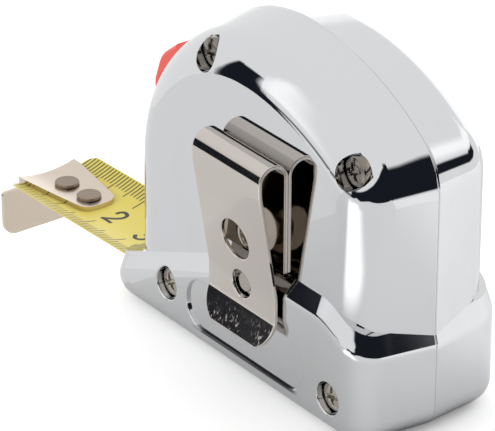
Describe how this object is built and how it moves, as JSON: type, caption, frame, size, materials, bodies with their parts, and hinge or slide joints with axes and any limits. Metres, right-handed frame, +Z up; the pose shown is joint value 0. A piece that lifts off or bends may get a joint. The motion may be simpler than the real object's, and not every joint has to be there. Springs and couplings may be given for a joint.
{
  "type": "tape measure",
  "caption": "Pocket tape measure with a chromed D-shaped case on a stepped foot, sprung steel blade with end hook, thumb lock and belt clip.",
  "frame": {"origin": "centre of the flat base of the foot, on the seam between the two case halves", "axes": "+Z up from the base, -X the way the blade comes out, -Y the side that carries the belt clip"},
  "size_m": [0.1207, 0.0378, 0.0747],
  "materials": {
    "chrome_case": "polished chrome plating on moulded plastic",
    "screw_steel": "bright zinc-nickel plated steel",
    "clip_steel": "polished nickel-plated spring steel with fine scratches",
    "hook_steel": "nickel-plated steel",
    "rivet_steel": "dulled steel",
    "blade_yellow": "satin yellow lacquer with dark graduations",
    "button_red": "coral-red plastic",
    "arm_black": "black nylon",
    "pad_rubber": "black rubber",
    "drum_plastic": "natural white acetal",
    "liner_film": "slippery film",
    "spring_steel": "blued spring steel",
    "pin_steel": "turned steel",
    "wiper_felt": "dark felt"
  },
  "bodies": {
    "case": {"case_half_clip": "chrome_case", "case_half_plain": "chrome_case", "lower_case_screws": "screw_steel", "upper_case_screws": "screw_steel", "locating_dowels": "pin_steel", "belt_clip": "clip_steel", "clip_screw": "screw_steel", "clip_stud": "screw_steel", "arbor_pin": "pin_steel", "arbor_washers": "liner_film", "side_liners": "liner_film", "wear_strip": "pin_steel", "mouth_wiper": "wiper_felt"},
    "reel": {"reel_drum": "drum_plastic", "drum_cover": "drum_plastic", "power_spring": "spring_steel", "blade_coil": "blade_yellow"},
    "blade": {"blade": "blade_yellow", "hook_rivets": "rivet_steel"},
    "hook": {"end_hook": "hook_steel"},
    "lock": {"lock_button": "button_red", "lock_arm": "arm_black", "brake_pads": "pad_rubber"}
  },
  "joints": [
    {"name": "blade_slide", "type": "slide", "parent": "case", "child": "blade", "axis": [-0.9994, 0, -0.0349], "range_m": [-0.041, 0.014]},
    {"name": "reel_spin", "type": "hinge", "parent": "case", "child": "reel", "pos_m": [0.0058, 0, 0.0299], "axis": [0, 1, 0], "range_deg": [-104, 36]},
    {"name": "hook_float", "type": "slide", "parent": "blade", "child": "hook", "axis": [-0.9994, 0, -0.0349], "range_m": [-0.0005, 0.0005]},
    {"name": "lock_slide", "type": "hinge", "parent": "case", "child": "lock", "pos_m": [0.0011, 0, 0.0302], "axis": [0, 1, 0], "range_deg": [0, 4]}
  ],
  "couplings": [
    {"joint": "reel_spin", "follows": "blade_slide", "rad_per_m": 43.86}
  ]
}
